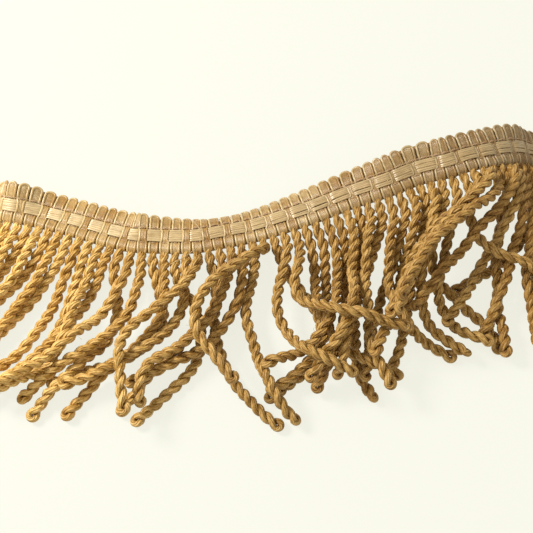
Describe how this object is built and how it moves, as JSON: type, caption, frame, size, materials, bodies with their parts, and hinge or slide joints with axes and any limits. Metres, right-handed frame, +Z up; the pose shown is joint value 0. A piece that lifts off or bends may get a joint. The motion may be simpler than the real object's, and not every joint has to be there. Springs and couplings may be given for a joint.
{
  "type": "cord fringe trim",
  "caption": "Length of cord fringe trim lying in soft curves: a ribbed woven heading with a satin band, and a skirt of twisted, doubled cords.",
  "frame": {"origin": "middle of the bounding box, on the surface that the trim lies on", "axes": "+X along the trim from left to right, +Y from the cords' ends towards the heading, +Z up"},
  "size_m": [0.2986, 0.1282, 0.0304],
  "materials": {
    "heading": "champagne rayon, softly glossy",
    "satin_band": "pale gold rayon, satin",
    "cord": "golden brown rayon cord"
  },
  "bodies": {
    "root": {"heading": "heading", "satin_band": "satin_band", "cord_fringe": "cord"}
  },
  "joints": []
}
